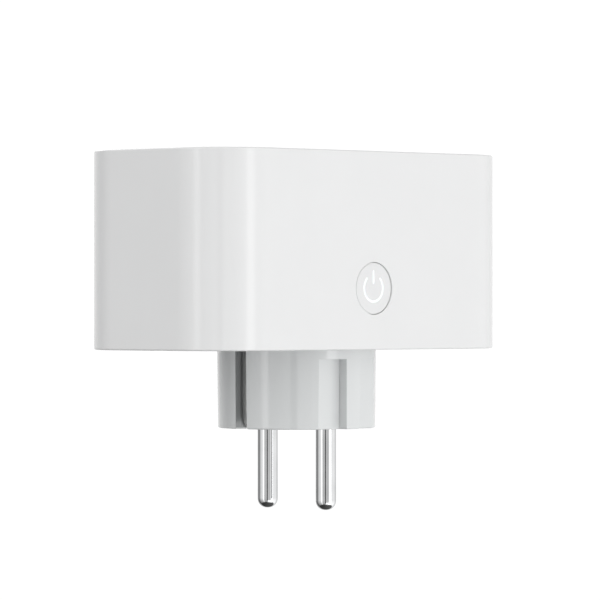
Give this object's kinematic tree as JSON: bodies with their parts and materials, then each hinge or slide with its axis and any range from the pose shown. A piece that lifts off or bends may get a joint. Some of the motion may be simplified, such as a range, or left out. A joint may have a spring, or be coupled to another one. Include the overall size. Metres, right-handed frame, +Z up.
{
  "type": "smart plug",
  "caption": "Smart plug: a rounded box with two earthed sockets on top, a round earthed plug with two pins below and a power button.",
  "frame": {"origin": "centre of the plug's end face, midway between the two pins", "axes": "+Z up from the plug to the sockets, -Y to the face with the button, +X along the row of the two sockets"},
  "size_m": [0.099, 0.0506, 0.0832],
  "materials": {
    "housing_white": "satin, very fine moulded texture",
    "socket_white": "satin",
    "plug_grey": "satin",
    "inner_plastic": "matt",
    "shutter_plastic": "matt",
    "spring_steel": "drawn wire",
    "button_white": "satin",
    "icon_lens": "translucent diffusing",
    "circuit_board": "green solder mask",
    "plated_steel": "tin plated",
    "black_plastic": "moulded, matt",
    "led_body": "clear epoxy over phosphor",
    "relay_case": "moulded, half gloss",
    "relay_iron": "nickel plated",
    "copper_wire": "enamelled wire",
    "contact_brass": "rolled",
    "ferrite": "sintered, matt",
    "winding_tape": "polyester tape",
    "capacitor_sleeve": "shrink sleeve",
    "film_capacitor": "epoxy filled box",
    "varistor_coat": "epoxy dipped",
    "fuse_body": "ceramic",
    "earth_spring": "nickel plated spring",
    "plated_pin": "polished nickel",
    "screw_steel": "zinc plated"
  },
  "bodies": {
    "housing": {"housing_shell": "housing_white", "top_panel": "housing_white", "base_plate": "housing_white", "plug_body": "plug_grey", "socket_well_left": "socket_white", "socket_well_right": "socket_white", "shutter_tray_left": "inner_plastic", "shutter_tray_right": "inner_plastic", "shutter_spring_left": "spring_steel", "shutter_spring_right": "spring_steel", "button_board": "circuit_board", "switch_body": "plated_steel", "status_leds": "led_body", "main_board": "circuit_board", "radio_board": "circuit_board", "radio_shield": "plated_steel", "relay_base_left": "black_plastic", "relay_base_right": "black_plastic", "relay_case_left": "relay_case", "relay_case_right": "relay_case", "relay_yoke_left": "relay_iron", "relay_yoke_right": "relay_iron", "relay_coil_left": "copper_wire", "relay_coil_right": "copper_wire", "relay_contact_left": "contact_brass", "relay_contact_right": "contact_brass", "transformer_core": "ferrite", "transformer_winding": "winding_tape", "bulk_capacitors": "capacitor_sleeve", "filter_capacitor": "film_capacitor", "varistor": "varistor_coat", "fuse": "fuse_body", "rectifier": "black_plastic", "choke": "ferrite", "surface_chips": "black_plastic", "neutral_bus": "contact_brass", "line_contact_left": "contact_brass", "line_contact_right": "contact_brass", "earth_bus": "plated_steel", "socket_earth_bracket_left": "earth_spring", "socket_earth_bracket_right": "earth_spring", "plug_pin_line": "plated_pin", "plug_pin_neutral": "plated_pin", "plug_earth_clips": "earth_spring", "earth_pin_sleeve": "contact_brass", "base_screws": "screw_steel", "board_screws": "screw_steel"},
    "power_button": {"button_cap": "button_white", "button_icon_lens": "icon_lens", "button_carrier": "inner_plastic"},
    "switch_plunger": {"switch_plunger": "black_plastic"},
    "shutter_left": {"shutter_left": "shutter_plastic"},
    "shutter_right": {"shutter_right": "shutter_plastic"},
    "armature_left": {"relay_armature_left": "relay_iron"},
    "armature_right": {"relay_armature_right": "relay_iron"}
  },
  "joints": [
    {"name": "button_press", "type": "slide", "parent": "housing", "child": "power_button", "axis": [0, 1, 0], "range_m": [0, 0.0005], "stiffness_N_per_m": 1500},
    {"name": "switch_press", "type": "slide", "parent": "housing", "child": "switch_plunger", "axis": [0, 1, 0], "range_m": [0, 0.0005]},
    {"name": "shutter_slide_left", "type": "slide", "parent": "housing", "child": "shutter_left", "axis": [-1, 0, 0], "range_m": [0, 0.0074], "stiffness_N_per_m": 40, "springref_m": -0.004, "deforming": ["shutter_spring_left"]},
    {"name": "shutter_slide_right", "type": "slide", "parent": "housing", "child": "shutter_right", "axis": [1, 0, 0], "range_m": [0, 0.0074], "stiffness_N_per_m": 40, "springref_m": -0.004, "deforming": ["shutter_spring_right"]},
    {"name": "armature_tilt_left", "type": "hinge", "parent": "housing", "child": "armature_left", "pos_m": [-0.00975, 0.0074, 0.03883], "axis": [1, 0, 0], "range_deg": [0, 3.4], "stiffness_Nm_per_rad": 0.01, "springref_deg": -2.86},
    {"name": "armature_tilt_right", "type": "hinge", "parent": "housing", "child": "armature_right", "pos_m": [0.00975, 0.0074, 0.03883], "axis": [1, 0, 0], "range_deg": [0, 3.4], "stiffness_Nm_per_rad": 0.01, "springref_deg": -2.86}
  ],
  "couplings": [
    {"joint": "switch_press", "follows": "button_press", "ratio": 1}
  ]
}
